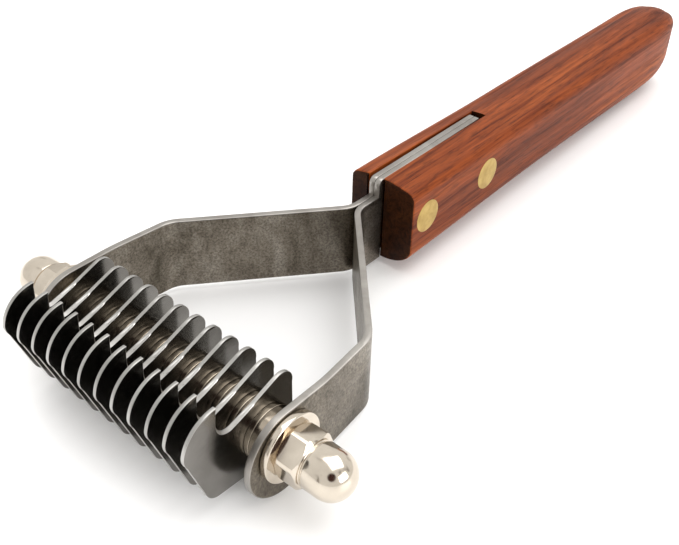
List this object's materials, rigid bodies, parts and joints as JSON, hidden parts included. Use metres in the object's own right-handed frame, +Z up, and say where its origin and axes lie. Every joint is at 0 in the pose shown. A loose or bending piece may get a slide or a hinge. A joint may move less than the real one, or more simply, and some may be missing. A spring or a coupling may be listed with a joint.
{
  "type": "multi-blade pet dematting rake",
  "caption": "Dematting and undercoat rake: hardwood handle, two-strip steel fork, and a row of hooked steel blades clamped on a cross rod by acorn nuts.",
  "frame": {"origin": "bottom centre of the bounding box, with the tool lying on a table on its two ears and the far end of its handle", "axes": "+X along the blade rod, +Y from the blades towards the end of the handle, +Z up"},
  "size_m": [0.0718, 0.1783, 0.0199],
  "materials": {
    "hardwood": "reddish-brown straight-grained hardwood, thin satin oil",
    "brass": "filed flush, lightly scratched",
    "arm_steel": "dull tumbled steel strip with mottled stains and bright edges",
    "blade_steel": "polished flats, ground bright edges",
    "nickel": "bright nickel plate with a warm tint"
  },
  "bodies": {
    "frame": {"handle": "hardwood", "arm_left": "arm_steel", "arm_right": "arm_steel", "rivet_front": "brass", "rivet_rear": "brass"},
    "rotor": {"rod": "nickel", "blade_01": "blade_steel", "blade_02": "blade_steel", "blade_03": "blade_steel", "blade_04": "blade_steel", "blade_05": "blade_steel", "blade_06": "blade_steel", "blade_07": "blade_steel", "blade_08": "blade_steel", "blade_09": "blade_steel", "blade_10": "blade_steel", "blade_11": "blade_steel", "blade_12": "blade_steel", "ring_01": "nickel", "ring_02": "nickel", "ring_03": "nickel", "ring_04": "nickel", "ring_05": "nickel", "ring_06": "nickel", "ring_07": "nickel", "ring_08": "nickel", "ring_09": "nickel", "ring_10": "nickel", "ring_11": "nickel", "ring_12": "nickel", "ring_13": "nickel", "spacer_01": "nickel", "spacer_02": "nickel", "spacer_03": "nickel", "spacer_04": "nickel", "spacer_05": "nickel", "spacer_06": "nickel", "spacer_07": "nickel", "spacer_08": "nickel", "spacer_09": "nickel", "spacer_10": "nickel", "spacer_11": "nickel", "spacer_12": "nickel", "spacer_13": "nickel"},
    "washer_left_body": {"washer_left": "nickel"},
    "nut_left_body": {"cap_nut_left": "nickel"},
    "washer_right_body": {"washer_right": "nickel"},
    "nut_right_body": {"cap_nut_right": "nickel"}
  },
  "joints": [
    {"name": "rotor_spin", "type": "hinge", "parent": "frame", "child": "rotor", "pos_m": [0, -0.07435, 0.009], "axis": [1, 0, 0], "continuous": true},
    {"name": "washer_right_slide", "type": "slide", "parent": "rotor", "child": "washer_right_body", "axis": [1, 0, 0], "range_m": [0, 0.0048]},
    {"name": "nut_right_turn", "type": "hinge", "parent": "washer_right_body", "child": "nut_right_body", "pos_m": [0.03, -0.07435, 0.009], "axis": [1, 0, 0], "range_deg": [0, 2160]},
    {"name": "washer_left_slide", "type": "slide", "parent": "rotor", "child": "washer_left_body", "axis": [-1, 0, 0], "range_m": [0, 0.0048]},
    {"name": "nut_left_turn", "type": "hinge", "parent": "washer_left_body", "child": "nut_left_body", "pos_m": [-0.03, -0.07435, 0.009], "axis": [-1, 0, 0], "range_deg": [0, 2160]}
  ],
  "couplings": [
    {"joint": "nut_right_turn", "follows": "washer_right_slide", "rad_per_m": 7853.9},
    {"joint": "nut_left_turn", "follows": "washer_left_slide", "rad_per_m": 7853.9}
  ]
}
